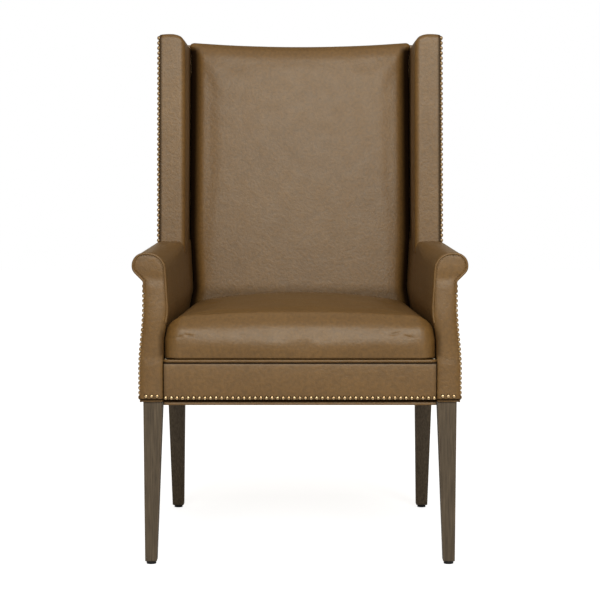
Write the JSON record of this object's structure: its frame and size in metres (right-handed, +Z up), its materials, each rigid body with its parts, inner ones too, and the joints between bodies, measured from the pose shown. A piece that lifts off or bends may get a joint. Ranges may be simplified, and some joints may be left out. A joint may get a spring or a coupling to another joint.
{
  "type": "wing-back host chair",
  "caption": "Tall wing-back dining armchair with a tight crowned seat, scroll arms, rows of domed nails and tapered wooden legs.",
  "frame": {"origin": "middle of the chair's bounding box, on the floor under the glides", "axes": "+Z up, -Y the way the chair faces, +X to the right as seen from the front"},
  "size_m": [0.6808, 0.6946, 1.122],
  "materials": {
    "leather": "semi-aniline, fine grain, low sheen",
    "stained_wood": "dark grey-brown stain under satin lacquer",
    "frame_wood": "planed, unfinished",
    "nail_brass": "antiqued, domed",
    "glide_plastic": "moulded, black",
    "padding": "foam and cotton felt",
    "webbing": "woven",
    "dust_cloth": "black woven cloth"
  },
  "bodies": {
    "root": {"arm_front_panel_left": "leather", "arm_front_panel_right": "leather", "arm_front_welt_left": "leather", "arm_front_welt_right": "leather", "arm_nails_left": "nail_brass", "arm_nails_right": "nail_brass", "arm_padding_left": "padding", "arm_padding_right": "padding", "arm_rail_left": "frame_wood", "arm_rail_right": "frame_wood", "arm_stump_left": "frame_wood", "arm_stump_right": "frame_wood", "back_foam": "padding", "back_leg_left": "stained_wood", "back_leg_right": "stained_wood", "back_lower_rail": "frame_wood", "back_seat_rail": "frame_wood", "back_top_rail": "frame_wood", "back_webbing": "webbing", "border_padding": "padding", "corner_blocks": "frame_wood", "deck_pad": "padding", "dust_cover": "dust_cloth", "foot_nails_left": "nail_brass", "foot_nails_right": "nail_brass", "front_border": "leather", "front_leg_left": "stained_wood", "front_leg_right": "stained_wood", "front_nails": "nail_brass", "front_seat_rail": "frame_wood", "inside_arm_cover_left": "leather", "inside_arm_cover_right": "leather", "inside_back_cover": "leather", "inside_wing_cover_left": "leather", "inside_wing_cover_right": "leather", "leg_glides": "glide_plastic", "outside_arm_cover_left": "leather", "outside_arm_cover_right": "leather", "outside_back_cover": "leather", "outside_wing_cover_left": "leather", "outside_wing_cover_right": "leather", "seat_cover": "leather", "seat_cross_webbing": "webbing", "seat_foam": "padding", "seat_webbing": "webbing", "seat_welt": "leather", "side_seat_rail_left": "frame_wood", "side_seat_rail_right": "frame_wood", "wing_nails_left": "nail_brass", "wing_nails_right": "nail_brass", "wing_padding_left": "padding", "wing_padding_right": "padding", "wing_post_left": "frame_wood", "wing_post_right": "frame_wood", "wing_rail_left": "frame_wood", "wing_rail_right": "frame_wood"}
  },
  "joints": []
}
